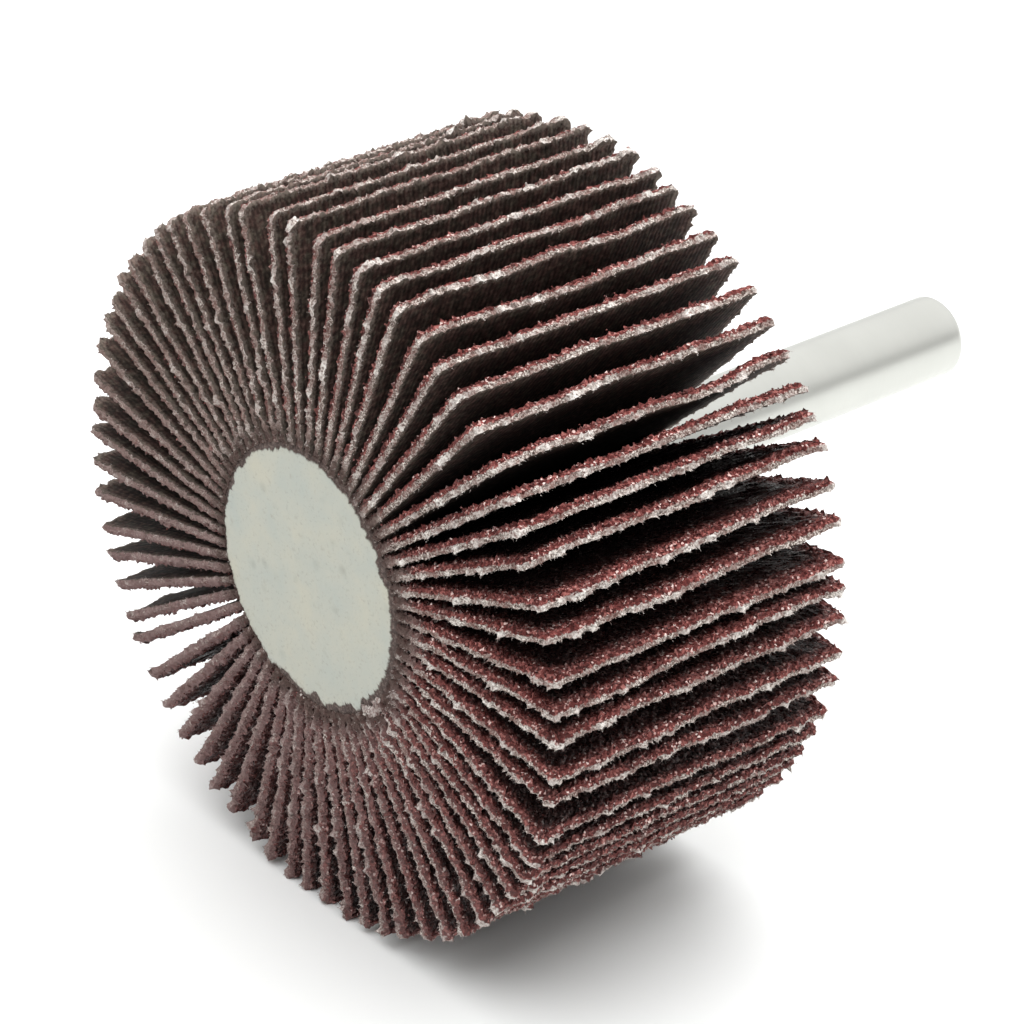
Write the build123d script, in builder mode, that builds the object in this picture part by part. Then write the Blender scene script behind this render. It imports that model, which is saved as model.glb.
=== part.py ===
from build123d import *
import os
from math import pi

# Mounted flap wheel: leaves of abrasive cloth stand on edge round a resin core, which is
# cast about the end of a steel shank. Sizes are in millimetres and angles in degrees.
# The axis runs along +Y towards the free end of the shank, and +Z is up. The origin is on
# the axis at the rear face of the wheel. Angles round the wheel start at +X and turn
# towards +Z, which is counter-clockwise for someone who faces the front of the wheel.

# Wheel
wheel_diameter = 50.0
wheel_width = 24.0

# Flaps
flap_count = 68
flap_thickness = 0.75
root_clearance = 0.02
seat_overrun = 0.15
flaps_per_node = 2

# The pack isn't even. Its gaps are narrow (n), middle (m) or wide (w), in this order
# counter-clockwise from the first tip, and their sizes are shares of the full turn.
gap_rhythm = "nwmwnnmmmmnwnnmnwmwnwmmnmwnmnwwmmmmmnmmnwmmmmmwnnnmmmnmwwmwmmnnmwmwnnm"
gap_shares = {"n": 4.6, "m": 5.3, "w": 6.2}
first_tip_angle = 3.7
first_root_angle = 3.5

# Resin core
end_disc_lap = 0.92
end_disc_thickness = 2.0
end_disc_edge_round = 0.3

# Shank
shank_diameter = 6.0
shank_free_length = 33.5
shank_tip_chamfer = 0.6

# The end of the shank inside the core, keyed by rings and two flats
grip_diameter = 5.0
grip_length = 20.0
ring_count = 4
ring_spacing = 3.2
ring_width = 1.4
ring_depth = 0.4
first_ring_from_face = 2.5
flats_length = 5.0
across_flats = 4.0

# Sizes that follow from the ones above
wheel_radius = wheel_diameter / 2
shank_radius = shank_diameter / 2
grip_radius = grip_diameter / 2
drum_radius = flap_count * (flap_thickness + root_clearance) / (2 * pi)
end_disc_radius = drum_radius + end_disc_lap
flap_length = wheel_radius - drum_radius


def point_round_axis(radius, angle):
    """A point of the rear face plane, at an angle round the wheel."""
    return Vector(radius, 0, 0).rotate(Axis.Y, -angle)


def tip_angles():
    """The angle of each flap's tip, with the gaps of the rhythm spread over a full turn."""
    shares = [gap_shares[gap_rhythm[index % len(gap_rhythm)]] for index in range(flap_count)]
    return [first_tip_angle + 360 * sum(shares[:index]) / sum(shares) for index in range(flap_count)]


def flap_plane(index):
    """The plane of a flap's front edge: its root is at the origin and +X runs to its tip."""
    root = point_round_axis(drum_radius, first_root_angle + 360 * index / flap_count)
    tip = point_round_axis(wheel_radius, tip_angles()[index])
    return Plane(origin=root, x_dir=tip - root, z_dir=(0, -1, 0))


os.makedirs("parts", exist_ok=True)


# Steel shank: a plain pin with a chamfered tip, and the keyed grip that the resin holds.
with BuildPart() as shank:
    with BuildSketch(Plane.XY):
        Rectangle(shank_radius, shank_free_length, align=(Align.MIN, Align.MIN))
        Rectangle(grip_radius, grip_length, align=(Align.MIN, Align.MAX))
        for ring in range(ring_count):
            with Locations((grip_radius, -first_ring_from_face - ring * ring_spacing)):
                Rectangle(2 * ring_depth, ring_width, mode=Mode.SUBTRACT)
    revolve(axis=Axis.Y)
    tip_face = shank.faces().sort_by(Axis.Y)[-1]
    chamfer(tip_face.edges(), shank_tip_chamfer)
    with BuildSketch(Plane.XY):
        for side in (-1, 1):
            with Locations((side * across_flats, -grip_length)):
                Rectangle(across_flats, 2 * flats_length, mode=Mode.ADD)
    extrude(amount=shank_radius, both=True, mode=Mode.SUBTRACT)

shank.part.label = "shank"
export_step(shank.part, "parts/shank.step")


# The space that the core takes up: a drum that the flap roots stand on, between two end
# discs that lap over them.
with BuildPart() as core_blank:
    with BuildSketch(Plane.XY):
        Rectangle(drum_radius, wheel_width, align=(Align.MIN, Align.MAX))
        Rectangle(end_disc_radius, end_disc_thickness, align=(Align.MIN, Align.MAX))
        with Locations((0, -wheel_width)):
            Rectangle(end_disc_radius, end_disc_thickness, align=(Align.MIN, Align.MIN))
    revolve(axis=Axis.Y)


# Resin core: cast round the grip of the shank, closed at the front of the wheel, with the
# outer edge of each end disc rounded off.
with BuildPart() as resin_core:
    add(core_blank.part)
    end_faces = [resin_core.faces().sort_by(Axis.Y)[end] for end in (0, -1)]
    fillet([face.outer_wire().edge() for face in end_faces], end_disc_edge_round)
    add(shank.part, mode=Mode.SUBTRACT)

resin_core.part.label = "resin_core"
export_step(resin_core.part, "parts/resin_core.step")


# Flaps: each leaf stands on the drum, leans a little to its own tip, and is notched at its
# inner corners for the end discs. Its grit faces counter-clockwise.
for first in range(0, flap_count, flaps_per_node):
    with BuildPart() as flap_set:
        for index in range(first, min(first + flaps_per_node, flap_count)):
            with BuildSketch(flap_plane(index)):
                with Locations((-seat_overrun, 0)):
                    Rectangle(
                        seat_overrun + flap_length,
                        flap_thickness,
                        align=(Align.MIN, Align.CENTER),
                    )
            extrude(amount=wheel_width)
        add(core_blank.part, mode=Mode.SUBTRACT)

    flap_set.part.label = f"flap_pair_{first // flaps_per_node + 1:02d}"
    export_step(flap_set.part, f"parts/{flap_set.part.label}.step")
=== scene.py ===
"""Looks of the flap wheel: leaves of worn abrasive cloth round a pale resin core on a steel
shank, on a plain pale floor. Lengths in the mesh code are millimetres in the row frame,
and become metres when a mesh is made."""

import math

import bpy
import numpy as np
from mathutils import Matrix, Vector


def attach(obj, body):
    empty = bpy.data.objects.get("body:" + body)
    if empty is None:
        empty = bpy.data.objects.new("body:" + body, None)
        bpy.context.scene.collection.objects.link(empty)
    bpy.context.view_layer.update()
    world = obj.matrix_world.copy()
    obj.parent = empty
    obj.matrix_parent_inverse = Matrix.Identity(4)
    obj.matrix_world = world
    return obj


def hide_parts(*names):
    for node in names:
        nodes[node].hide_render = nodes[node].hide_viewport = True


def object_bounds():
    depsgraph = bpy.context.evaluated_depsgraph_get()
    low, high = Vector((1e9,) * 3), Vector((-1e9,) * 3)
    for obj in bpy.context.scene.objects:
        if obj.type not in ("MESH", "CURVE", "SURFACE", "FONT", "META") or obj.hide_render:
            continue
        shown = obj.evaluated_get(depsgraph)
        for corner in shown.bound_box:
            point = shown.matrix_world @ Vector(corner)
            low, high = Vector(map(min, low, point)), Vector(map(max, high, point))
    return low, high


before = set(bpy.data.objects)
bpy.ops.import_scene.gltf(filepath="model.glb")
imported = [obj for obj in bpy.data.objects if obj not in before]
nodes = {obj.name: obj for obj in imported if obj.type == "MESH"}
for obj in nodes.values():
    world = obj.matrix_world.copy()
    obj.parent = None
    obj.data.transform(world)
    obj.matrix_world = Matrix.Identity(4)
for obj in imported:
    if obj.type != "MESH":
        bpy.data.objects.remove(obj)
cad_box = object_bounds()

MM = 0.001
FULL_TURN = 2 * math.pi

# The wheel and its shank
FRONT = -24.0
WIDTH = 24.0
FLAP_COUNT = 68
DRUM_RADIUS = 8.333
DISC_RADIUS = 9.25
SHANK_RADIUS = 3.0
SHANK_END = 33.5

# The solids' points past the first of these radii are at a flap's tip, and those inside the
# second are at its root.
RIM_BAND = 24.8
ROOT_BAND = 8.36

# Steps along a leaf's border (its two sides, its tip and all of it), and the size of one
SIDE_STEPS = 84
TIP_STEPS = 124
BORDER_STEPS = 2 * SIDE_STEPS + TIP_STEPS
STEP_SIZE = 0.195

# Heights in a leaf, from the middle of its thickness: the grit face, the back and the rows
# of the cut edge. A row above GRIT_FROM is in the grit layer, one above TOP_FROM is that
# layer's broken top, and one below BOTTOM_BELOW is the lowest of the cloth.
GRIT_HEIGHT = 0.32
BACK_HEIGHT = -0.31
WALL_HEIGHTS = (0.35, 0.23, 0.05, -0.13, -0.31)
GRIT_FROM = 0.1
TOP_FROM = 0.3
BOTTOM_BELOW = -0.3

# Wear of the cut edge: how rough it is, how far the top of the grit layer breaks back, how
# far the cloth stands out, how much further in a tuft, and how much border has one tuft
EDGE_ROUGHNESS = 0.055
GRIT_BREAK = (-0.16, 0.02)
CLOTH_REACH = 0.10
TUFT_REACH = 0.22
TUFT_SPACING = 1.5

# Loose pieces of a leaf
FIBRES_PER_LEAF = 630
FIBRE_LENGTHS = (0.04, 0.20)
FIBRE_RADII = (0.014, 0.036)
GRAINS_PER_LEAF = 150
GRAIN_RADII = (0.04, 0.10)

# How far a leaf's inner corners are set back, how much it bows and ripples, and between
# which radii the soot and the dark dust at its root fade out
SEAT_DEPTH = 0.95
BOW = 0.10
RIPPLE = 0.035
SOOT_RADII = (9.9, 12.2)
ROOT_DUST_RADII = (9.7, 11.4)

# Turns in degrees, from +X towards +Z, of the leaves with the roundest front corners and
# with the least dirt
ROUNDEST_TURN = 110
CLEANEST_TURN = 28

FIRST_LEAF_SEED = 1000
CORE_SEED = 77
CRUMB_SEED = 31
SHANK_SEED = 12

# A leaf's materials in their order, which are also the kinds of its points
GRIT = 0
EDGE = 1
BACK = 2

# What "across" says on a piece that is all cloth
CLOTH_ACROSS = -0.4

TINY = 1e-6
AXIS = np.array([0.0, 1.0, 0.0])

# A loose grain or crumb is a small octahedron.
GRAIN_CORNERS = [[1, 0, 0], [-1, 0, 0], [0, 1, 0], [0, -1, 0], [0, 0, 1], [0, 0, -1]]
GRAIN_FACES = [(0, 2, 4), (2, 1, 4), (1, 3, 4), (3, 0, 4), (2, 0, 5), (1, 2, 5), (3, 1, 5), (0, 3, 5)]


# Materials. Scales of patterns are repeats in a metre, and distances of bumps are metres.


def new_material(name):
    """An empty node material, with its tree, shader and a shared object coordinate."""
    material = bpy.data.materials.new(name)
    material.use_nodes = True
    tree = material.node_tree
    tree.nodes.clear()
    output = tree.nodes.new("ShaderNodeOutputMaterial")
    shader = tree.nodes.new("ShaderNodeBsdfPrincipled")
    tree.links.new(shader.outputs["BSDF"], output.inputs["Surface"])
    place = tree.nodes.new("ShaderNodeTexCoord").outputs["Object"]
    return material, tree, shader, place


def noise(tree, place, scale, detail=3.0, roughness=0.5):
    """Smooth noise from 0 to 1."""
    node = tree.nodes.new("ShaderNodeTexNoise")
    node.inputs["Scale"].default_value = scale
    node.inputs["Detail"].default_value = detail
    node.inputs["Roughness"].default_value = roughness
    tree.links.new(place, node.inputs["Vector"])
    return node.outputs["Fac"]


def cells(tree, place, scale):
    """Voronoi cells: the distance to the nearest one's middle, and its random colour."""
    node = tree.nodes.new("ShaderNodeTexVoronoi")
    node.inputs["Scale"].default_value = scale
    tree.links.new(place, node.inputs["Vector"])
    return node.outputs["Distance"], node.outputs["Color"]


def ramp(tree, value, stops):
    """A colour ramp through stops of (position, colour)."""
    node = tree.nodes.new("ShaderNodeValToRGB")
    elements = node.color_ramp.elements
    while len(elements) < len(stops):
        elements.new(0.5)
    for element, (position, colour) in zip(elements, stops):
        element.position = position
        element.color = (*colour, 1.0)
    tree.links.new(value, node.inputs["Fac"])
    return node.outputs["Color"]


def feed(tree, socket, value):
    """Sets a socket to a number or colour, or links it to another socket."""
    if isinstance(value, float):
        socket.default_value = value
    elif isinstance(value, tuple):
        socket.default_value = (*value, 1.0) if socket.type == "RGBA" else value
    else:
        tree.links.new(value, socket)


def math_node(tree, operation, first, second):
    """Arithmetic with two numbers."""
    node = tree.nodes.new("ShaderNodeMath")
    node.operation = operation
    feed(tree, node.inputs[0], first)
    feed(tree, node.inputs[1], second)
    return node.outputs["Value"]


def vector_math(tree, operation, first, second=None):
    """Vector arithmetic. A dot product gives a number, and the rest give a vector."""
    node = tree.nodes.new("ShaderNodeVectorMath")
    node.operation = operation
    feed(tree, node.inputs[0], first)
    if second is not None:
        feed(tree, node.inputs[1], second)
    return node.outputs["Value" if operation == "DOT_PRODUCT" else "Vector"]


def swing(tree, value, amount):
    """Noise that runs from 0 to 1, centred on zero and scaled."""
    return math_node(tree, "MULTIPLY", math_node(tree, "SUBTRACT", value, 0.5), amount)


def spread(tree, value, low, high, to_low=0.0, to_high=1.0):
    """A value's range from low to high, mapped to another range and held at its ends."""
    node = tree.nodes.new("ShaderNodeMapRange")
    node.inputs["From Min"].default_value = low
    node.inputs["From Max"].default_value = high
    node.inputs["To Min"].default_value = to_low
    node.inputs["To Max"].default_value = to_high
    tree.links.new(value, node.inputs["Value"])
    return node.outputs["Result"]


def mix_colour(tree, share, first, second, blend="MIX"):
    """Two colours mixed by a share, through the node's colour sockets."""
    node = tree.nodes.new("ShaderNodeMix")
    node.data_type = "RGBA"
    node.blend_type = blend
    feed(tree, node.inputs[0], share)
    feed(tree, node.inputs[6], first)
    feed(tree, node.inputs[7], second)
    return node.outputs[2]


def attribute(tree, name):
    """A value that the mesh stores at its points."""
    node = tree.nodes.new("ShaderNodeAttribute")
    node.attribute_name = name
    return node.outputs["Fac"]


def channel(tree, colour, index):
    """One of a colour's or place's three numbers."""
    node = tree.nodes.new("ShaderNodeSeparateColor")
    tree.links.new(colour, node.inputs["Color"])
    return node.outputs[index]


def bump(tree, shader, height, distance, strength, normal=None):
    """Gives the shader a surface that follows a height, over its own normal or another."""
    node = tree.nodes.new("ShaderNodeBump")
    node.inputs["Strength"].default_value = strength
    node.inputs["Distance"].default_value = distance
    tree.links.new(height, node.inputs["Height"])
    if normal is not None:
        tree.links.new(normal, node.inputs["Normal"])
    tree.links.new(node.outputs["Normal"], shader.inputs["Normal"])


def grain_normal(tree, colour, amount):
    """The surface normal, tilted at random from grain to grain."""
    normal = tree.nodes.new("ShaderNodeNewGeometry").outputs["Normal"]
    tilt = vector_math(tree, "SUBTRACT", colour, (0.5, 0.5, 0.5))
    scaled = vector_math(tree, "MULTIPLY", tilt, (amount, amount, amount))
    return vector_math(tree, "NORMALIZE", vector_math(tree, "ADD", normal, scaled))


def finish(tree, shader, colour, roughness, gloss):
    """The colour, roughness and gloss of a surface."""
    feed(tree, shader.inputs["Base Color"], colour)
    feed(tree, shader.inputs["Roughness"], roughness)
    shader.inputs["Specular IOR Level"].default_value = gloss


def grit_colour(tree, place):
    """Colour of the abrasive, grain by grain: mostly dark maroon, some red, and a few pale grains
    that are painted glints. It is darkened by painted shade that deepens with the depth from
    the leaf's border, as in the gaps between the leaves. Also the distance and the random
    colour of the grains' cells."""
    distance, cell_colour = cells(tree, place, 6600.0)
    stops = [
        (0.0, (0.044, 0.010, 0.009)),
        (0.42, (0.092, 0.021, 0.019)),
        (0.74, (0.176, 0.049, 0.044)),
        (0.93, (0.325, 0.128, 0.112)),
        # The palest grains are painted glints: highlights put into the base colour.
        (1.0, (0.740, 0.600, 0.560)),
    ]
    grains = ramp(tree, channel(tree, cell_colour, 0), stops)
    patch = spread(tree, noise(tree, place, 420.0, 4.0), 0.3, 0.7, 0.72, 1.22)
    drift = swing(tree, noise(tree, place, 700.0), 1.3)
    depth = math_node(tree, "ADD", attribute(tree, "depth"), drift)
    # Painted shade: the grit goes from 1.18 near the border down to 0.20 deeper in, as between the leaves.
    inner = spread(tree, depth, 0.25, 1.70, 1.18, 0.20)
    shade = math_node(tree, "MULTIPLY", patch, inner)
    film_colour = mix_colour(tree, attribute(tree, "root"), (0.086, 0.042, 0.040), (0.060, 0.035, 0.031))
    dusted = mix_colour(tree, attribute(tree, "film"), grains, film_colour)
    return mix_colour(tree, 1.0, dusted, shade, "MULTIPLY"), distance, cell_colour


def make_grit():
    """The abrasive face of a leaf: grains that each have a colour, gloss and tilt."""
    material, tree, shader, place = new_material("grit")
    colour, distance, cell_colour = grit_colour(tree, place)
    roughness = spread(tree, channel(tree, cell_colour, 1), 0.0, 1.0, 0.18, 0.75)
    finish(tree, shader, colour, roughness, 0.55)
    bump(tree, shader, distance, -0.0001, 0.6, grain_normal(tree, cell_colour, 0.85))
    return material


def make_cloth_edge():
    """The cut edge of a leaf: pale frayed cloth below, the broken grit layer above."""
    material, tree, shader, place = new_material("cloth_cut_edge")
    grit_layer, _, cell_colour = grit_colour(tree, place)
    strands = noise(tree, place, 7600.0, 2.0, 0.6)
    stops = [
        (0.36, (0.080, 0.052, 0.044)),
        (0.47, (0.235, 0.182, 0.160)),
        (0.55, (0.500, 0.440, 0.400)),
        (0.64, (0.820, 0.766, 0.712)),
    ]
    cloth = ramp(tree, strands, stops)
    stain = spread(tree, noise(tree, place, 900.0), 0.40, 0.62, 0.0, 0.70)
    stained = mix_colour(tree, stain, cloth, (0.185, 0.094, 0.081))
    wisp_noise = spread(tree, noise(tree, place, 4200.0), 0.36, 0.6)
    wisps = math_node(tree, "MULTIPLY", attribute(tree, "tuft"), wisp_noise)
    tufted = mix_colour(tree, wisps, stained, (0.875, 0.838, 0.795))
    torn = swing(tree, noise(tree, place, 3300.0, 2.0), 0.55)
    across = math_node(tree, "ADD", attribute(tree, "across"), torn)
    edge = mix_colour(tree, spread(tree, across, -0.02, 0.06), tufted, grit_layer)
    patchy = spread(tree, noise(tree, place, 1500.0), 0.18, 0.52)
    soot = math_node(tree, "MULTIPLY", attribute(tree, "soot"), patchy)
    # The soot's colour is a little darker lower down and paler higher up.
    high = spread(tree, channel(tree, place, 2), -0.006, 0.010)
    dirt = mix_colour(tree, high, (0.218, 0.144, 0.137), (0.238, 0.175, 0.152))
    dirt = mix_colour(tree, attribute(tree, "root"), dirt, (0.092, 0.060, 0.052))
    finish(tree, shader, mix_colour(tree, soot, edge, dirt), 0.85, 0.25)
    bump(tree, shader, strands, 0.00012, 0.9, grain_normal(tree, cell_colour, 0.5))
    return material


def make_backing():
    """The back of a leaf: dark brown sized cloth, with the ribs of its weave and a fuzzy,
    paler strip beside the cut edge."""
    material, tree, shader, place = new_material("cloth_backing")
    wave = tree.nodes.new("ShaderNodeTexWave")
    wave.wave_type = "BANDS"
    wave.bands_direction = "Y"
    wave.inputs["Scale"].default_value = 850.0
    wave.inputs["Distortion"].default_value = 2.2
    wave.inputs["Detail"].default_value = 2.0
    wave.inputs["Detail Scale"].default_value = 3.0
    tree.links.new(place, wave.inputs["Vector"])
    mottle = noise(tree, place, 2300.0, 3.0, 0.6)
    stops = [(0.32, (0.028, 0.019, 0.016)), (0.5, (0.064, 0.046, 0.040)), (0.68, (0.140, 0.110, 0.093))]
    colour = ramp(tree, mottle, stops)
    hue = spread(tree, noise(tree, place, 1400.0, 2.0), 0.42, 0.60)
    tint = mix_colour(tree, hue, (1.25, 0.82, 0.78), (0.92, 1.02, 0.86))
    tinted = mix_colour(tree, 0.55, colour, tint, "MULTIPLY")
    ribbed = mix_colour(tree, 0.42, tinted, wave.outputs["Color"], "MULTIPLY")
    frayed = swing(tree, noise(tree, place, 5200.0, 2.0), 0.9)
    depth = math_node(tree, "ADD", attribute(tree, "depth"), frayed)
    near_edge = spread(tree, depth, 0.02, 0.30, 0.32, 0.0)
    fuzzy = mix_colour(tree, near_edge, ribbed, (0.330, 0.278, 0.238))
    film = math_node(tree, "MULTIPLY", attribute(tree, "film"), 0.12)
    dusted = mix_colour(tree, film, fuzzy, (0.150, 0.118, 0.102))
    finish(tree, shader, dusted, 0.85, 0.2)
    ribs = math_node(tree, "MULTIPLY", wave.outputs["Fac"], 0.5)
    bump(tree, shader, math_node(tree, "ADD", mottle, ribs), 0.00007, 0.6)
    return material


def dust_colour(tree, place):
    """Colour of grinding dust, and the noise that it follows."""
    fuzz = noise(tree, place, 4200.0, 3.0, 0.65)
    stops = [(0.3, (0.036, 0.023, 0.020)), (0.5, (0.078, 0.052, 0.045)), (0.72, (0.200, 0.153, 0.134))]
    return ramp(tree, fuzz, stops), fuzz


def make_resin():
    """Matte cast resin: pale grey-green, mottled, with small stains and pits, and dusty where
    the mesh says so."""
    material, tree, shader, place = new_material("core_resin_matte")
    stops = [(0.3, (0.410, 0.438, 0.402)), (0.5, (0.450, 0.458, 0.402)), (0.7, (0.492, 0.477, 0.392))]
    clouds = ramp(tree, noise(tree, place, 210.0, 5.0, 0.6), stops)
    specks = spread(tree, noise(tree, place, 1500.0, 3.0, 0.6), 0.62, 0.78, 0.0, 0.4)
    specked = mix_colour(tree, specks, clouds, (0.285, 0.240, 0.190))
    # Pits are darker in colour as well as sunk by the bump.
    near_pit, _ = cells(tree, place, 560.0)
    pocked = spread(tree, noise(tree, place, 330.0, 2.0), 0.50, 0.64)
    pit = math_node(tree, "MULTIPLY", spread(tree, near_pit, 0.10, 0.30, 0.34, 0.0), pocked)
    pitted = mix_colour(tree, pit, specked, (0.210, 0.195, 0.165))
    dusty, fuzz = dust_colour(tree, place)
    grime = math_node(tree, "ADD", attribute(tree, "grime"), swing(tree, fuzz, 1.3))
    dirty = mix_colour(tree, spread(tree, grime, 0.1, 0.75), pitted, dusty)
    finish(tree, shader, dirty, 0.72, 0.35)
    fine = noise(tree, place, 2600.0, 4.0, 0.6)
    sunk = math_node(tree, "SUBTRACT", fine, math_node(tree, "MULTIPLY", pit, 2.0))
    bump(tree, shader, sunk, 0.00005, 0.6)
    return material


def make_dust():
    """Grinding dust and resin bloom between the flap roots."""
    material, tree, shader, place = new_material("core_dust")
    colour, fuzz = dust_colour(tree, place)
    finish(tree, shader, colour, 0.95, 0.1)
    bump(tree, shader, fuzz, 0.00015, 0.8)
    return material


def make_steel():
    """Bright ground steel with fine marks round the shank."""
    material, tree, shader, place = new_material("shank_ground_steel")
    stretched = tree.nodes.new("ShaderNodeMapping")
    stretched.inputs["Scale"].default_value = (0.04, 1.0, 0.04)
    tree.links.new(place, stretched.inputs["Vector"])
    marks = noise(tree, stretched.outputs["Vector"], 5200.0, 3.0, 0.6)
    stops = [(0.3, (0.545, 0.548, 0.518)), (0.7, (0.570, 0.573, 0.542))]
    tone = ramp(tree, noise(tree, place, 260.0), stops)
    shader.inputs["Metallic"].default_value = 1.0
    finish(tree, shader, tone, spread(tree, marks, 0.3, 0.7, 0.31, 0.37), 0.5)
    bump(tree, shader, marks, 0.0000008, 0.15)
    return material


def make_floor():
    """Plain pale paper, with hardly any change of tone."""
    material, tree, shader, place = new_material("studio_floor")
    stops = [(0.3, (0.815, 0.825, 0.820)), (0.7, (0.835, 0.841, 0.836))]
    finish(tree, shader, ramp(tree, noise(tree, place, 6.0, 2.0), stops), 0.6, 0.2)
    return material


# Mesh helpers


def mesh_object(name, points, triangles, materials, indices=None, smooth=False, values=None):
    """A mesh object in metres, from points in millimetres and triangles. It may also have a
    material number and smoothness for each triangle, and named values at its points."""
    mesh = bpy.data.meshes.new(name)
    triangles = np.asarray(triangles, np.int32)
    mesh.vertices.add(len(points))
    mesh.vertices.foreach_set("co", (np.asarray(points) * MM).astype(np.float32).ravel())
    mesh.loops.add(triangles.size)
    mesh.loops.foreach_set("vertex_index", triangles.ravel())
    mesh.polygons.add(len(triangles))
    mesh.polygons.foreach_set("loop_start", np.arange(0, triangles.size, 3, dtype=np.int32))
    if indices is not None:
        mesh.polygons.foreach_set("material_index", np.asarray(indices, np.int32))
    mesh.polygons.foreach_set("use_smooth", np.full(len(triangles), smooth))
    for title, data in (values or {}).items():
        layer = mesh.attributes.new(title, "FLOAT", "POINT")
        layer.data.foreach_set("value", np.asarray(data, np.float32))
    mesh.update(calc_edges=True)
    mesh.validate()
    for material in materials:
        mesh.materials.append(material)
    piece = bpy.data.objects.new(name, mesh)
    bpy.context.scene.collection.objects.link(piece)
    return piece


def smoothstep(low, high, value):
    """A smooth rise from 0 at low to 1 at high."""
    share = np.clip((value - low) / (high - low), 0.0, 1.0)
    return share * share * (3 - 2 * share)


def wavy(rng, position, wavelengths, amplitude):
    """A smooth random line: a sum of sines of the given wavelengths."""
    total = np.zeros_like(position, dtype=float)
    for wavelength in wavelengths:
        total += rng.normal() * np.sin(FULL_TURN * position / wavelength + rng.uniform(0, FULL_TURN))
    return amplitude * total / math.sqrt(len(wavelengths))


def hump(offset, width):
    """A smooth hump of height 1 that is at its top where the offset is zero."""
    return np.exp(-((offset / width) ** 2))


def turned_from(turns, middle):
    """How far turns in radians are from a middle one, between minus and plus half a turn."""
    return (turns - middle + math.pi) % FULL_TURN - math.pi


def even_turns(around):
    """Even steps of a full turn, in radians."""
    return np.arange(around) * FULL_TURN / around


def ring_of(radius, height, turns):
    """Points of a ring round the axis, at a radius and a height along it."""
    height = np.zeros(len(turns)) + height
    return np.stack([radius * np.cos(turns), height, radius * np.sin(turns)], 1)


def ring_strips(rings, around, closed=False):
    """Triangles between rings of points that follow one another, and back to the first ring
    if closed."""
    strips = rings if closed else rings - 1
    ring, index = np.meshgrid(np.arange(strips), np.arange(around), indexing="ij")
    beside = (index + 1) % around
    following = (ring + 1) % rings
    a = ring * around + index
    b = ring * around + beside
    c = following * around + beside
    d = following * around + index
    return np.stack([a, c, b, a, d, c], -1).reshape(-1, 3)


def capped_rings(rings, around):
    """Triangles of a closed body of rings, with an end point for its first ring and one for
    its last after the rings' own points."""
    index = np.arange(around)
    beside = (index + 1) % around
    end = rings * around
    first_cap = np.stack([np.full(around, end), index, beside], 1)
    last_cap = np.stack([np.full(around, end + 1), end - around + beside, end - around + index], 1)
    return np.concatenate([ring_strips(rings, around), first_cap, last_cap])


# Leaf topology


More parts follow.
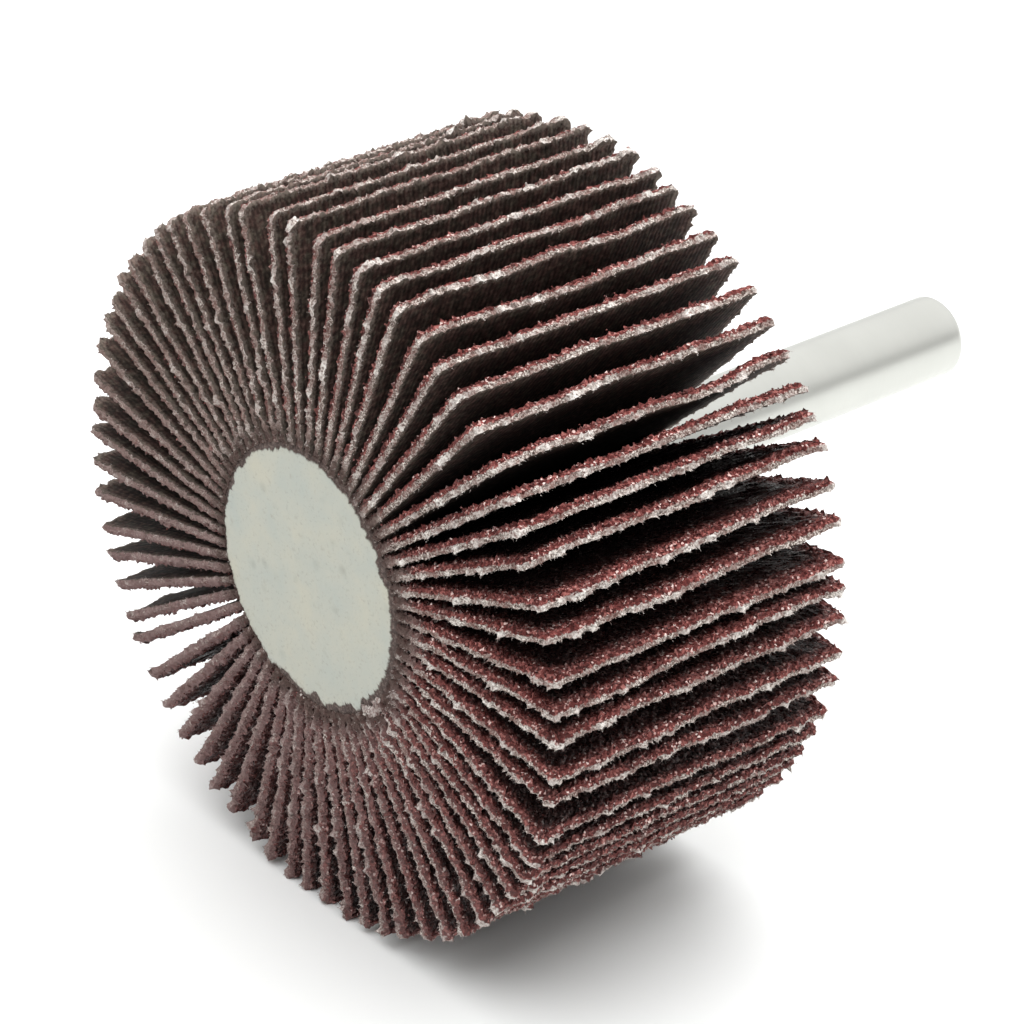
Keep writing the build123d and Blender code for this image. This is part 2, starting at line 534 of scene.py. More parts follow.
class LeafPattern:
    """The shared mesh of a leaf, before wear: nested rings round its three free edges on
    both faces, fine at the edge and coarse inside, joined by the rows of the cut edge. A
    point has a place u from root to tip, w from front to rear and t in the thickness, and
    keeps its ring's inset from the border and its step along it."""

    def __init__(self, length, width):
        self.length = length
        self.width = width
        self.rows = []
        self.triangles = []
        self.materials = []
        # Each ring's inset and level. A ring has half the steps of one a level below it.
        grit = [(0.14, 0), (0.31, 0), (0.52, 0), (0.78, 0), (1.08, 0)]
        grit += [(1.45, 1), (1.85, 1), (2.35, 1), (3.0, 1)]
        grit += [(3.9, 2), (5.2, 2), (7.0, 2), (9.5, 2), (12.0, 2)]
        back = [(0.16, 0), (0.5, 1), (1.3, 1), (2.4, 2), (4.4, 2), (7.4, 2), (12.0, 2)]
        wall = [self.ring(0.0, 0, height, EDGE) for height in WALL_HEIGHTS]
        for above, below in zip(wall, wall[1:]):
            self.join(above, below, EDGE)
        face = [wall[0]] + [self.ring(inset, level, GRIT_HEIGHT, GRIT) for inset, level in grit]
        for outer, inner in zip(face, face[1:]):
            self.join(inner, outer, GRIT)
        rear = [wall[-1]] + [self.ring(inset, level, BACK_HEIGHT, BACK) for inset, level in back]
        for outer, inner in zip(rear, rear[1:]):
            self.join(outer, inner, BACK)
        self.close_root(wall, face, rear)
        self.merge()

    def ring(self, inset, level, height, kind):
        """Adds the points of one ring, and returns their numbers."""
        sides = SIDE_STEPS >> level
        tips = TIP_STEPS >> level
        end = self.length - inset
        run = np.linspace(0.0, 1.0, sides + 1)
        side = np.ones(sides + 1)
        across = np.linspace(inset, self.width - inset, tips + 1)[1:-1]
        u = np.concatenate([run * end, np.full(tips - 1, end), run[::-1] * end])
        w = np.concatenate([side * inset, across, side * (self.width - inset)])
        step = np.arange(len(u)) * (1 << level)
        everywhere = np.ones(len(u))
        columns = [u, w, height * everywhere, inset * everywhere, step, kind * everywhere]
        first = sum(len(points) for points in self.rows)
        self.rows.append(np.stack(columns, 1))
        return np.arange(first, first + len(u))

    def join(self, first, second, material):
        """Fills the strip between two rings. One may have half the points of the other."""
        made = []
        if len(first) == len(second):
            for index in range(len(first) - 1):
                a, b, c, d = first[index], first[index + 1], second[index + 1], second[index]
                made += [(a, c, b), (a, d, c)] if index % 2 else [(a, d, b), (b, d, c)]
        elif len(first) > len(second):
            for index in range(len(second) - 1):
                a, b, c = first[2 * index : 2 * index + 3]
                d, e = second[index], second[index + 1]
                made += [(a, d, b), (b, d, e), (b, e, c)]
        else:
            for index in range(len(first) - 1):
                a, b, c = second[2 * index : 2 * index + 3]
                d, e = first[index], first[index + 1]
                made += [(b, d, a), (e, d, b), (c, e, b)]
        self.triangles += made
        self.materials += [material] * len(made)

    def close_root(self, wall, face, rear):
        """Caps the root edge, between the ends of the rings of both faces."""
        w = np.concatenate(self.rows)[:, 1]
        upper = [ring[0] for ring in face] + [ring[-1] for ring in face[::-1]]
        lower = [ring[0] for ring in rear] + [ring[-1] for ring in rear[::-1]]
        made = []
        i = j = 0
        while i + 1 < len(upper) or j + 1 < len(lower):
            upper_next = w[upper[i + 1]] if i + 1 < len(upper) else np.inf
            lower_next = w[lower[j + 1]] if j + 1 < len(lower) else np.inf
            if upper_next <= lower_next:
                made.append((upper[i], upper[i + 1], lower[j]))
                i += 1
            else:
                made.append((lower[j], upper[i], lower[j + 1]))
                j += 1
        for above, below in zip(wall[:-2], wall[1:-1]):
            made.append((above[0], wall[-1][0], below[0]))
            made.append((wall[-1][-1], above[-1], below[-1]))
        self.triangles += made
        self.materials += [EDGE] * len(made)

    def merge(self):
        """Joins points that fall together, drops triangles that have no area, and keeps what
        the wear asks of each point."""
        rows = np.concatenate(self.rows)
        places = np.round(rows[:, :3], 4)
        _, kept, number = np.unique(places, axis=0, return_index=True, return_inverse=True)
        triangles = number.ravel()[np.array(self.triangles)]
        a, b, c = triangles.T
        whole = (a != b) & (b != c) & (a != c)
        self.triangles = triangles[whole]
        self.materials = np.array(self.materials)[whole]
        self.u, self.w, self.t, self.inset, step, kind = np.ascontiguousarray(rows[kept].T)
        self.count = len(kept)
        self.step = step.astype(int)
        self.grit = kind == GRIT
        self.back = kind == BACK
        self.wall = kind == EDGE
        self.top = self.wall & (self.t > TOP_FROM)
        self.cloth = self.wall & (self.t <= GRIT_FROM)
        self.upper = self.wall & ~self.top & ~self.cloth
        self.bottom = self.wall & (self.t < BOTTOM_BELOW)
        self.edge = hump(self.inset, 0.5)
        self.at_front = self.w <= self.inset + TINY
        at_rear = self.w >= self.width - self.inset - TINY
        at_tip = self.u >= self.length - self.inset - TINY
        out_w = at_rear.astype(float) - self.at_front
        size = np.maximum(np.hypot(at_tip, out_w), TINY)
        self.out_u = at_tip / size
        self.out_w = out_w / size


# Wear of a leaf


def round_corners(pattern, front_radius, rear_radius):
    """Places u and w with the two free corners of each ring rounded."""
    u, w, inset, width = pattern.u, pattern.w, pattern.inset, pattern.width
    end = pattern.length - inset
    near_front = w < width / 2
    radius = np.where(near_front, front_radius, rear_radius) * np.clip(1 - inset / 4.0, 0.0, 1.0) + TINY
    from_side = np.where(near_front, w - inset, width - inset - w)
    from_tip = end - u
    on_side = (from_side < TINY) & (from_tip < radius)
    on_tip = (from_tip < TINY) & (from_side < radius) & ~on_side
    angle = np.where(on_side, 1 - from_tip / radius, 1 - from_side / radius) * math.pi / 4
    sine = radius * np.sin(angle)
    cosine = radius * np.cos(angle)
    new_u = np.where(on_side, end - radius + sine, np.where(on_tip, end - radius + cosine, u))
    new_side = np.where(on_side, radius - cosine, np.where(on_tip, radius - sine, from_side))
    return new_u, np.where(near_front, inset + new_side, width - inset - new_side)


def fray_line(rng):
    """How frayed each step of the border is: sparse tufts of random height, and more of
    them at the two free corners."""
    steps = np.arange(BORDER_STEPS + 1)
    border = BORDER_STEPS * STEP_SIZE
    total = np.zeros(BORDER_STEPS + 1)
    for _ in range(int(border / TUFT_SPACING)):
        middle = rng.uniform(0, border)
        width = rng.uniform(0.15, 0.5)
        total += rng.uniform(0.15, 1.0) ** 1.5 * hump(steps * STEP_SIZE - middle, width)
    fray = np.clip(total, 0.0, 1.3)
    for corner in (SIDE_STEPS, SIDE_STEPS + TIP_STEPS):
        fray += rng.uniform(0.3, 1.0) * hump(steps - corner, 2.2)
    return fray


def border_push(pattern, rng, fray):
    """How far each point moves outward: the border is ragged, the grit layer is broken back
    and the cloth under it stands out in tufts."""
    ragged = wavy(rng, np.arange(BORDER_STEPS + 1) * STEP_SIZE, (1.1, 1.9, 3.3, 6.0), 0.035)
    push = ragged[pattern.step] * pattern.edge
    push += np.where(pattern.wall, rng.normal(0, EDGE_ROUGHNESS, pattern.count), 0.0)
    push += np.where(pattern.top, rng.uniform(*GRIT_BREAK, pattern.count), 0.0)
    push += np.where(pattern.upper, -0.02, 0.0)
    tufts = CLOTH_REACH + TUFT_REACH * fray[pattern.step] + rng.normal(0, EDGE_ROUGHNESS, pattern.count)
    push += np.where(pattern.cloth, tufts, 0.0)
    push += np.where(pattern.bottom, -0.03 + rng.normal(0, 0.03, pattern.count), 0.0)
    return push


def relief(pattern, rng, fray, near):
    """Heights t with grains on the grit face and its edge, and threads that hang from the
    lowest row of the cut edge."""
    count = pattern.count
    grains = rng.gamma(1.6, 0.070, count) - 0.11
    t = pattern.t + np.where(pattern.grit, np.clip(grains, -0.11, 0.23) * (0.35 + 0.65 * near), 0.0)
    t += np.where(pattern.top, np.clip(grains, -0.12, 0.22), 0.0)
    t += np.where(pattern.upper, rng.normal(0, 0.03, count), 0.0)
    hanging = 0.12 * fray[pattern.step] + rng.gamma(1.3, 0.032, count).clip(0, 0.14) - 0.03
    t -= np.where(pattern.bottom, hanging, 0.0)
    t += np.where(pattern.back, rng.normal(0, 0.008, count), 0.0)
    return t


def seat_corners(u, w, width):
    """Place w with the inner corners set back, where they give way to the core's discs."""
    half = width / 2
    seat = SEAT_DEPTH * (1 - smoothstep(0.72, 1.02, u))
    w = np.where(w < half, np.maximum(w, w * (1 - seat / half) + seat), w)
    mirrored = width - w
    return np.where(w > half, np.minimum(w, width - mirrored * (1 - seat / half) - seat), w)


def soiled_side(turn):
    """How much dirt a leaf at this turn carries, from 0 on the cleanest side to 1."""
    return 0.5 - 0.5 * math.cos(math.radians(turn - CLEANEST_TURN))


def gap_shade_factor(turn):
    """How fast the painted shade in the grit deepens inward: faster in the leaves under +X,
    which lie close in each other's shade."""
    steep = math.exp(min(max(15.0 - turn, 0.0), 40.0) / 30.0)
    return 1 + (steep - 1) * (1 - smoothstep(75.0, 115.0, abs(turn)))


def soiling_and_shade(pattern, rng, turn, fray, u, w):
    """What the shaders read at the points of a leaf."""
    radius = DRUM_RADIUS + u
    shift = rng.normal(0, 0.35)
    soot = 1 - smoothstep(*SOOT_RADII, radius + shift)
    root = 1 - smoothstep(*ROOT_DUST_RADII, radius + 0.6 * shift)
    soiled = soiled_side(turn)
    front_edge = pattern.at_front & pattern.wall
    film = np.maximum(0.75 * soot, 0.66 * soiled**1.5 * hump(np.maximum(w, 0.0), 1.8))
    edge_soot = np.where(front_edge, 0.88, 0.50) * soiled * pattern.wall
    tuft = np.clip(fray[pattern.step] * 0.85, 0, 1) * pattern.edge
    return {
        "across": pattern.t,
        "tuft": tuft * (1 - 0.5 * soiled * front_edge),
        "soot": np.maximum(soot, edge_soot),
        "film": film,
        # The depth from the border, stretched by the leaf's turn, sets the painted shade in the grit.
        "depth": pattern.inset * gap_shade_factor(turn),
        "root": root,
    }


def worn_leaf(pattern, rng, turn):
    """One leaf's worn points in its own axes u, w and t, what its shaders read there, and
    how frayed its border is. Its turn round the wheel decides how worn and dirty it is, and
    how fast the painted shade in its grit deepens."""
    roundness = max(0.0, math.cos(math.radians(turn - ROUNDEST_TURN)))
    front_radius = 0.25 + 0.6 * roundness + rng.uniform(-0.1, 0.15)
    rear_radius = rng.uniform(0.15, 0.5)
    fray = fray_line(rng)
    u, w = round_corners(pattern, front_radius, rear_radius)
    push = border_push(pattern, rng, fray)
    near = np.clip(1 - pattern.inset / 3.0, 0.15, 1.0)
    jitter = np.where(pattern.grit, 0.05 * near, np.where(pattern.wall, 0.02, 0.012))
    u = u + pattern.out_u * push + rng.normal(0, 1, pattern.count) * jitter
    w = w + pattern.out_w * push + rng.normal(0, 1, pattern.count) * jitter
    t = relief(pattern, rng, fray, near)
    w = seat_corners(u, w, pattern.width)

    # The leaf bows a little along its length and ripples along its tip.
    reach = np.clip(u / pattern.length, 0, 1.05)
    bow = rng.normal(0, BOW) + wavy(rng, w, (31.0, 17.0, 9.0), 1.3 * BOW)
    ripple = wavy(rng, w + 0.6 * u, (4.2, 6.3), RIPPLE)
    t = t + bow * reach**2.2 + ripple * reach**3
    return np.stack([u, w, t], 1), soiling_and_shade(pattern, rng, turn, fray, u, w), fray


def loose_fibres(points, pattern, rng, fray):
    """Thin spikes of thread on the cut cloth of a leaf, each a narrow pyramid."""
    count = FIBRES_PER_LEAF
    cloth = np.flatnonzero(pattern.cloth & (pattern.u > 1.4))
    weight = (0.35 + fray[pattern.step[cloth]]) * np.where(pattern.bottom[cloth], 2.6, 1.0)
    chosen = rng.choice(cloth, count, p=weight / weight.sum())
    out_u, out_w = pattern.out_u[chosen], pattern.out_w[chosen]
    base = points[chosen] + rng.normal(0, 0.04, (count, 3))
    outward = np.stack([out_u, out_w, np.zeros(count)], 1)
    along_line = np.stack([-out_w, out_u, np.zeros(count)], 1)
    lift = np.array([0.0, 0.0, 1.0])
    heading = (
        outward * rng.uniform(0.15, 0.9, (count, 1))
        + along_line * rng.normal(0, 0.45, (count, 1))
        + lift * rng.uniform(-1.3, 0.15, (count, 1))
    )
    heading /= np.linalg.norm(heading, axis=1, keepdims=True)
    reach = rng.gamma(3.0, 0.028, (count, 1)).clip(*FIBRE_LENGTHS)
    side = np.cross(heading, rng.normal(0, 1, (count, 3)))
    side /= np.linalg.norm(side, axis=1, keepdims=True)
    other = np.cross(heading, side)
    thick = rng.uniform(*FIBRE_RADII, (count, 1))
    corners = [
        base - outward * 0.03 + thick * (math.cos(around) * side + math.sin(around) * other)
        for around in (0.0, FULL_TURN / 3, 2 * FULL_TURN / 3)
    ]
    made = np.stack([*corners, base + heading * reach], 1).reshape(-1, 3)
    first = 4 * np.arange(count)[:, None]
    faces = ((0, 1, 3), (1, 2, 3), (2, 0, 3), (0, 2, 1))
    return made, np.concatenate([first + np.array(face) for face in faces])


def loose_grains(points, pattern, rng):
    """Whole grains that stand out of the grit near the free edges of a leaf."""
    count = GRAINS_PER_LEAF
    near = pattern.top | pattern.upper | (pattern.grit & (pattern.inset < 1.4))
    candidates = np.flatnonzero(near & (pattern.u > 1.2))
    weight = np.exp(-pattern.inset[candidates] / 0.7)
    chosen = rng.choice(candidates, count, p=weight / weight.sum())
    middle = points[chosen] + rng.normal(0, 0.05, (count, 3))
    axes = np.linalg.qr(rng.normal(0, 1, (count, 3, 3)))[0]
    sizes = rng.uniform(*GRAIN_RADII, (count, 1, 3)) * rng.uniform(0.8, 1.15, (count, 6, 1))
    made = np.einsum("nij,nkj->nki", axes, GRAIN_CORNERS * sizes) + middle[:, None]
    first = 6 * np.arange(count)[:, None, None]
    return made.reshape(-1, 3), (first + GRAIN_FACES).reshape(-1, 3)


# Places of the leaves


def middle_direction(points):
    """The turn round the axis, in degrees, of the middle of some points."""
    return math.degrees(math.atan2(points[:, 2].mean(), points[:, 0].mean()))


def turned_degrees(points, reference):
    """How far points are turned from a reference, in degrees."""
    turns = np.degrees(np.arctan2(points[:, 2], points[:, 0]))
    return (turns - reference + 180) % 360 - 180


def leaf_places(node):
    """Root point, heading, length and tip's turn of both leaves of a pair, from its solid."""
    points = np.array([v.co for v in node.data.vertices], float) / MM
    radius = np.hypot(points[:, 0], points[:, 2])
    rim = points[radius > RIM_BAND]
    seat = points[radius < ROOT_BAND]
    rim_middle = middle_direction(rim)
    seat_middle = middle_direction(seat)
    rim_turns = turned_degrees(rim, rim_middle)
    seat_turns = turned_degrees(seat, seat_middle)
    places = []
    for side in (-1, 1):
        at_tip = rim_turns * side > 0
        at_root = seat_turns * side > 0
        tip_turn = rim_middle + (rim_turns[at_tip].min() + rim_turns[at_tip].max()) / 2
        root_turn = seat_middle + (seat_turns[at_root].min() + seat_turns[at_root].max()) / 2
        turn = math.radians(root_turn)
        root_radius = np.hypot(seat[at_root, 0], seat[at_root, 2]).min()
        root = root_radius * np.array([math.cos(turn), 0.0, math.sin(turn)])
        tip = np.array([rim[at_tip, 0].mean(), 0.0, rim[at_tip, 2].mean()])
        length = np.linalg.norm(tip - root)
        places.append((root, (tip - root) / length, length, tip_turn))
    return places


# The flap pack

steel = make_steel()
resin = make_resin()
dust = make_dust()
grit = make_grit()
cloth_edge = make_cloth_edge()
backing = make_backing()

pair_names = sorted(name for name in nodes if name.startswith("flap_pair_"))
leaf_length = float(np.mean([place[2] for name in pair_names for place in leaf_places(nodes[name])]))
pattern = LeafPattern(leaf_length, WIDTH)


def leaf_parts(rng, turn):
    """A worn leaf, its loose fibres and its loose grains: points, triangles, material numbers
    and what the shaders read."""
    points, leaf_values, fray = worn_leaf(pattern, rng, turn)
    fibres, fibre_triangles = loose_fibres(points, pattern, rng, fray)
    grains, grain_triangles = loose_grains(points, pattern, rng)
    clean = dict.fromkeys(leaf_values, 0.0)
    fibre_values = {**clean, "across": CLOTH_ACROSS, "tuft": 0.7, "soot": 0.2 + 0.6 * soiled_side(turn)}
    grain_values = {**clean, "across": 0.4, "depth": 0.2}
    return (
        (points, pattern.triangles, pattern.materials, leaf_values),
        (fibres, fibre_triangles, EDGE, fibre_values),
        (grains, grain_triangles, GRIT, grain_values),
    )


def flap_pair(name, first_seed):
    """Both leaves of a pair as one piece."""
    points = []
    triangles = []
    materials = []
    values = {}
    filled = 0
    for which, (root, heading, _, turn) in enumerate(leaf_places(nodes[name])):
        rng = np.random.default_rng(first_seed + which)
        normal = np.array([-heading[2], 0.0, heading[0]])
        for local, faces, material, part_values in leaf_parts(rng, turn):
            in_plane = root + local[:, :1] * heading + local[:, 2:] * normal
            points.append(in_plane + (FRONT + local[:, 1:2]) * AXIS)
            triangles.append(faces + filled)
            materials.append(np.broadcast_to(material, len(faces)))
            for title, data in part_values.items():
                values.setdefault(title, []).append(np.broadcast_to(data, len(local)))
            filled += len(local)
    numbers = np.concatenate(materials)
    return mesh_object(
        name + "_cloth",
        np.concatenate(points),
        np.concatenate(triangles),
        [grit, cloth_edge, backing],
        numbers,
        numbers == BACK,
        {title: np.concatenate(data) for title, data in values.items()},
    )


for number, name in enumerate(pair_names):
    piece = flap_pair(name, FIRST_LEAF_SEED + 2 * number)
    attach(piece, "root")
    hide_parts(name)


# The core


def core_piece():
    """The resin body: a flat front face whose pale skin ends in a ragged line just inside
    the dirty rim, the drum that the leaves stand on, and a rear face that climbs a little
    round the shank."""
    rng = np.random.default_rng(CORE_SEED)
    around = 8 * FLAP_COUNT
    turns = even_turns(around)
    rim = turns * DISC_RADIUS
    bites = np.zeros(around)
    for _ in range(40):
        middle = rng.uniform(0, FULL_TURN)
        width = rng.uniform(0.022, 0.060)
        bites += rng.uniform(0.02, 0.26) * hump(turned_from(turns, middle), width)

    # The skin's ragged edge: bites, a notch at every flap, waves, and a step from flap to
    # flap that is strongest at the bottom
    widest_turn = math.radians(187)
    bottom_turn = math.radians(272)
    notch = np.abs(np.sin(FLAP_COUNT / 2 * turns + wavy(rng, rim, (29.06, 7.26), 0.5)))
    skin = 9.03 + 0.16 * np.cos(turns - widest_turn) - bites
    skin -= 0.16 * (1 - notch) ** 2 * (0.6 + wavy(rng, rim, (14.53, 5.81, 3.2), 0.5))
    skin += wavy(rng, rim, (29.06, 14.53, 8.30, 5.28, 3.63), 0.15)
    skin += rng.normal(0, 0.03, around)
    lower = hump(turned_from(turns, bottom_turn), 0.85)
    steps = np.repeat(rng.normal(0, 0.15, FLAP_COUNT), around // FLAP_COUNT)
    skin += (0.25 + 0.75 * lower) * (0.6 * steps + 0.4 * np.roll(steps, 2))
    skin = np.clip(skin, 8.2, 9.42)
    rear_skin = 8.95 - 0.8 * bites + wavy(rng, rim, (29.06, 11.62, 5.81, 3.4), 0.14)

    # Rings of radius, height, roughness and grime, from the front face to the shank
    rings = [(share * 8.9, FRONT, 0.0, 0.0) for share in np.linspace(0.06, 0.86, 17)]
    inside = 7.9
    skin_grime = ((0.45, 0.0), (0.75, 0.10 * lower), (0.90, 0.08 + 0.16 * lower), (1.0, 0.45 + 0.2 * lower))
    for share, grime in skin_grime:
        rings.append((inside + share * (skin - inside), FRONT + 0.01 * share, 0.0, grime))
    lip = skin + 0.07
    edge_radius = 9.38
    rings.append((lip, FRONT + 0.07, 0.02, 0.85))
    rings.append((0.5 * lip + 0.5 * edge_radius, FRONT + 0.10, 0.03, 1.0))
    rings.append((edge_radius, FRONT + 0.15, 0.03, 1.0))
    body = ((9.40, FRONT + 0.6), (9.25, FRONT + 2.0), (8.42, FRONT + 2.3))
    body += ((8.42, -2.3), (9.25, -2.0), (9.38, -0.5), (9.34, -0.12))
    rings += [(radius, height, 0.0, 1.0) for radius, height in body]
    rings.append((rear_skin + 0.08, -0.07, 0.02, 0.9))
    rings.append((rear_skin, -0.02, 0.0, 0.2))
    rings += [(radius, 0.0, 0.0, 0.0) for radius in (8.4, 7.6, 6.6, 5.6, 4.8, 4.2, 3.8)]
    collar = ((3.5, 0.06), (3.25, 0.22), (3.08, 0.42), (2.98, 0.5))
    rings += [(radius, height, 0.0, 0.1) for radius, height in collar]

    points = []
    grimes = []
    for radius, height, rough, grime in rings:
        points.append(ring_of(radius, height + rng.normal(0, 1, around) * rough, turns))
        grimes.append(np.zeros(around) + grime)
    points = np.concatenate([*points, [[0.0, FRONT, 0.0], [0.0, collar[-1][1], 0.0]]])
    grimes = np.concatenate([*grimes, np.zeros(2)])
    faces = (np.abs(points[:, 1] - FRONT) < 0.03) | (np.abs(points[:, 1]) < 0.03)
    uneven = wavy(rng, points[:, 0] + 0.3 * points[:, 2], (7.0, 4.1, 2.3), 0.010)
    uneven += wavy(rng, points[:, 2] - 0.2 * points[:, 0], (6.1, 3.7, 2.0), 0.010)
    points[:, 1] += np.where(faces, uneven, 0.0)

    # The front face stands a little proud of the flaps.
    points[:, 1] -= np.where(points[:, 1] < FRONT + 0.4, 0.10, 0.0)
    triangles = capped_rings(len(rings), around)
    return mesh_object("resin_core_body", points, triangles, [resin], None, True, {"grime": grimes})


def dust_ring(name, front, seed):
    """Dust and resin bloom between the flap roots, just outside an end disc: flush beside
    the disc, sinking into the gaps further out, and closed inside the pack."""
    rng = np.random.default_rng(seed)
    around = 10 * FLAP_COUNT
    turns = even_turns(around)
    seen = ((8.95, 0.30), (9.12, 0.09), (9.28, 0.05), (9.44, 0.06), (9.6, 0.09), (9.78, 0.15))
    seen += ((9.98, 0.27), (10.2, 0.55), (10.45, 1.1), (10.7, 2.1))
    hidden = ((10.3, 2.5), (9.5, 2.5), (9.0, 1.4))
    profile = seen + hidden
    edge = wavy(rng, turns * 9.6, (60.3, 20.1, 10.05, 5.0, 2.2), 0.13)
    if front:
        dustiest_turn = math.radians(285)
        edge += 0.55 * hump(turned_from(turns, dustiest_turn), 0.75)
    points = []
    for radius, depth in profile:
        shifted = radius + edge * smoothstep(9.1, 9.8, radius) + rng.normal(0, 0.035, around)
        sunk = depth + np.abs(rng.normal(0, 0.05 + 0.08 * depth, around))
        points.append(ring_of(shifted, FRONT + sunk if front else -sunk, turns))
    triangles = ring_strips(len(profile), around, closed=True)
    outward = triangles if front else triangles[:, ::-1]
    return mesh_object(name, np.concatenate(points), outward, [dust])


def pale_crumbs():
    """Pale crumbs of resin and torn cloth, caught in the dust round the front disc."""
    rng = np.random.default_rng(CRUMB_SEED)
    # Each group's turn in degrees and radius, the spread of both, and its number of crumbs
    # and their size
    groups = (
        (313.5, 9.62, 3.0, 0.20, 36, 0.42),
        (262.0, 9.55, 5.0, 0.16, 14, 0.11),
        (246.0, 10.3, 2.0, 0.3, 7, 0.12),
        (340.0, 9.8, 6.0, 0.2, 8, 0.09),
        (200.0, 9.6, 9.0, 0.15, 9, 0.08),
        (80.0, 9.6, 60.0, 0.15, 20, 0.07),
    )
    points = []
    triangles = []
    for turn, radius, turn_range, radius_range, count, size in groups:
        for _ in range(count):
            angle = math.radians(turn + rng.normal(0, turn_range))
            away = radius + rng.normal(0, radius_range)
            height = FRONT + rng.uniform(-0.02, 0.12)
            middle = np.array([away * math.cos(angle), height, away * math.sin(angle)])
            axes = np.linalg.qr(rng.normal(0, 1, (3, 3)))[0]
            scale = size * rng.uniform(0.5, 1.2) * rng.uniform(0.6, 1.2, (6, 1))
            triangles.append(np.array(GRAIN_FACES) + 6 * len(points))
            points.append(middle + (GRAIN_CORNERS * scale) @ axes)
    points = np.concatenate(points)
    clean = np.zeros(len(points))
    values = {
        "across": clean + CLOTH_ACROSS,
        "tuft": rng.uniform(0.1, 0.9, len(points)),
        "soot": rng.uniform(0.1, 0.5, len(points)),
        "film": clean,
        "depth": clean,
        "root": clean,
    }
    return mesh_object("pale_crumbs", points, np.concatenate(triangles), [cloth_edge], None, False, values)


core = core_piece()
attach(core, "root")
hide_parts("resin_core")
crumbs = pale_crumbs()
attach(crumbs, "root")
for name, front, seed in (("dust_ring_front", True, 5), ("dust_ring_rear", False, 6)):
    ring_piece = dust_ring(name, front, seed)
    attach(ring_piece, "root")


# The shank


def shank_piece():
    """Ground steel pin: a soft chamfer at its free end, a shallow centre mark and fine
    turned rings on its end face."""
    around = 144
    profile = [(2.7, -2.0), (2.97, -1.2)]
    profile += [(SHANK_RADIUS, height) for height in np.linspace(-0.6, SHANK_END - 0.75, 40)]
    chamfer = [(2.99, 0.66), (2.95, 0.55), (2.86, 0.42), (2.68, 0.22), (2.54, 0.09), (2.40, 0.02)]
    ridges = [(radius, 0.012 * (step % 2)) for step, radius in enumerate(np.linspace(2.25, 0.75, 11))]
    centre_mark = [(0.6, 0.02), (0.45, 0.1), (0.25, 0.16), (0.02, 0.18)]
    profile += [(radius, SHANK_END - back) for radius, back in chamfer + ridges + centre_mark]
    turns = even_turns(around)
    points = [ring_of(radius, height, turns) for radius, height in profile]
    ends = [[0.0, profile[0][1], 0.0], [0.0, profile[-1][1], 0.0]]
    points = np.concatenate([*points, ends])
    rng = np.random.default_rng(SHANK_SEED)
    swell = 1 + wavy(rng, points[:, 1], (11.0, 4.7), 0.0015) / SHANK_RADIUS
    points[:, 0] *= swell
    points[:, 2] *= swell
    return mesh_object("shank_pin", points, capped_rings(len(profile), around), [steel], None, True)


shank = shank_piece()
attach(shank, "root")
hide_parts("shank")


# Stage


def floor_piece(height):
    """A large, flat, pale floor that reaches far past the picture."""
    reach = 6000.0
    steps = 12
    line = np.linspace(-reach, reach, steps + 1)
    points = np.array([(x, y, height) for y in line for x in line])
    triangles = []
    for row in range(steps):
        for column in range(steps):
            a = row * (steps + 1) + column
            b, c, d = a + 1, a + steps + 2, a + steps + 1
            triangles += [(a, b, c), (a, c, d)]
    return mesh_object("studio_floor", points, triangles, [make_floor()])


floor = floor_piece(cad_box[0][2] / MM - 0.02)


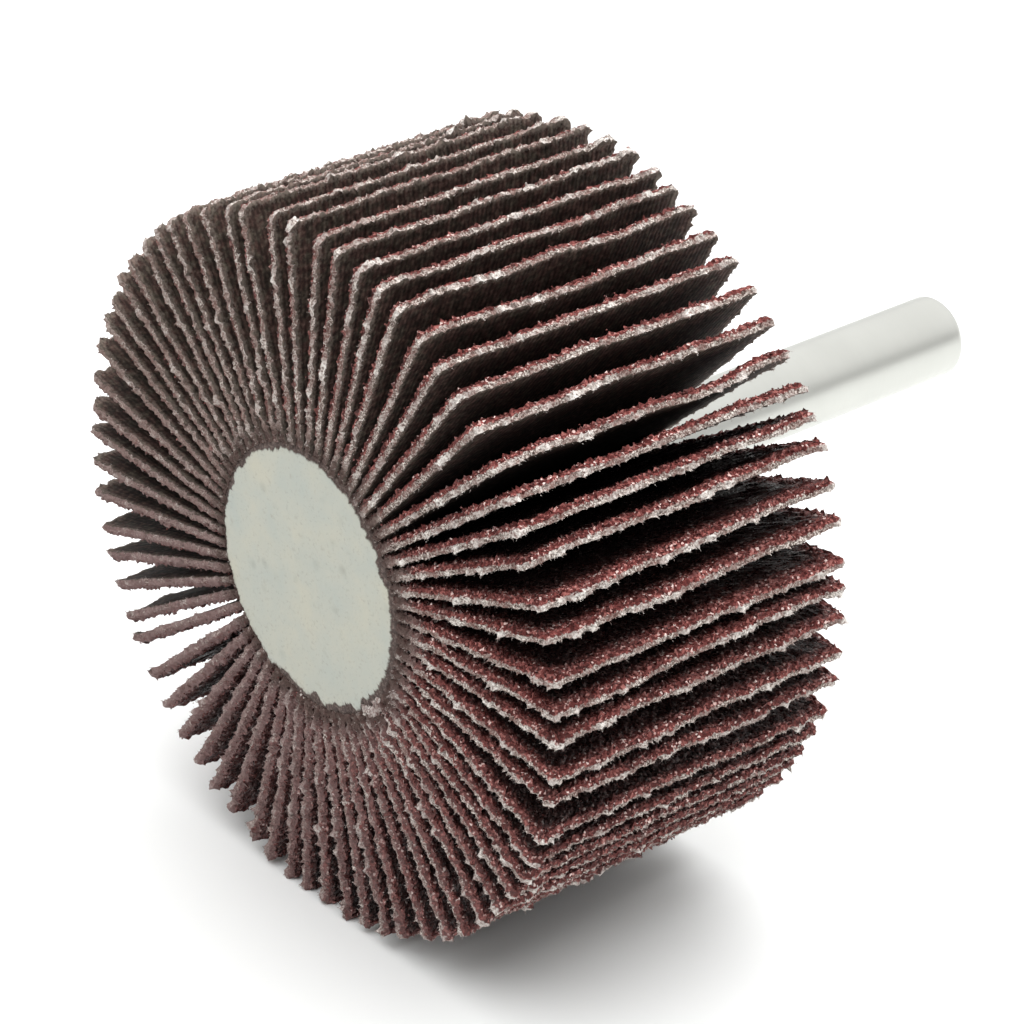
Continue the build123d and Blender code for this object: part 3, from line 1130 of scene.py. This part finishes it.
def studio_world():
    """The light of the room: a bright backdrop behind the wheel, a dim room in front of it,
    and a soft grey card for the shank to reflect."""
    world = bpy.data.worlds.new("studio")
    bpy.context.scene.world = world
    world.use_nodes = True
    tree = world.node_tree
    tree.nodes.clear()
    output = tree.nodes.new("ShaderNodeOutputWorld")
    background = tree.nodes.new("ShaderNodeBackground")
    tree.links.new(background.outputs["Background"], output.inputs["Surface"])
    direction = tree.nodes.new("ShaderNodeTexCoord").outputs["Generated"]
    split = tree.nodes.new("ShaderNodeSeparateXYZ")
    tree.links.new(direction, split.inputs["Vector"])
    rise = spread(tree, split.outputs["Z"], -0.2, 1.0)
    below = [(0.0, (1.02, 1.02, 1.01)), (0.27, (1.02, 1.02, 1.01))]
    room_stops = [(0.37, (0.13, 0.13, 0.13)), (0.62, (0.20, 0.20, 0.20)), (0.80, (0.70, 0.70, 0.69))]
    backdrop_stops = [(0.36, (1.36, 1.36, 1.35)), (0.62, (1.44, 1.44, 1.43))]
    room = ramp(tree, rise, below + room_stops)
    backdrop = ramp(tree, rise, below + backdrop_stops)
    aside = math_node(tree, "MULTIPLY", split.outputs["X"], 0.2)
    behind = math_node(tree, "SUBTRACT", split.outputs["Y"], aside)
    glow = mix_colour(tree, spread(tree, behind, 0.15, 0.5), room, backdrop)
    toward_card = vector_math(tree, "DOT_PRODUCT", direction, (0.83, 0.557, 0.0))
    card = spread(tree, toward_card, 0.90, 0.98)
    shaded = mix_colour(tree, card, glow, (0.66, 0.66, 0.65))
    tree.links.new(shaded, background.inputs["Color"])
    background.inputs["Strength"].default_value = 1.0


def lamp(name, kind, power):
    """A light that shows in no reflection. It shines down until it is turned."""
    data = bpy.data.lights.new(name, kind)
    data.energy = power
    light = bpy.data.objects.new(name, data)
    light.visible_glossy = False
    bpy.context.scene.collection.objects.link(light)
    return light


studio_world()

softbox = lamp("overhead_soft", "AREA", 6.1)
softbox.data.shape = "DISK"
softbox.data.size = 1.16
softbox.location = (0.0, -0.01, 0.68)

sun = lamp("overhead_wide", "SUN", 1.42)
sun.data.angle = math.radians(76.0)

camera_data = bpy.data.cameras.new("camera")
camera_data.lens = 134.93
camera_data.sensor_width = 36.0
camera_data.clip_start = 0.01
camera_data.clip_end = 50.0
camera = bpy.data.objects.new("camera", camera_data)
camera.location = (0.1761, -0.15145, 0.12315)
camera.rotation_mode = "QUATERNION"
camera.rotation_quaternion = Vector((-0.67874, 0.55714, -0.4784)).to_track_quat("-Z", "Y")
bpy.context.scene.collection.objects.link(camera)
bpy.context.scene.camera = camera

bpy.context.scene.view_settings.view_transform = "Standard"
bpy.context.scene.view_settings.look = "None"
bpy.context.scene.view_settings.exposure = 0.0
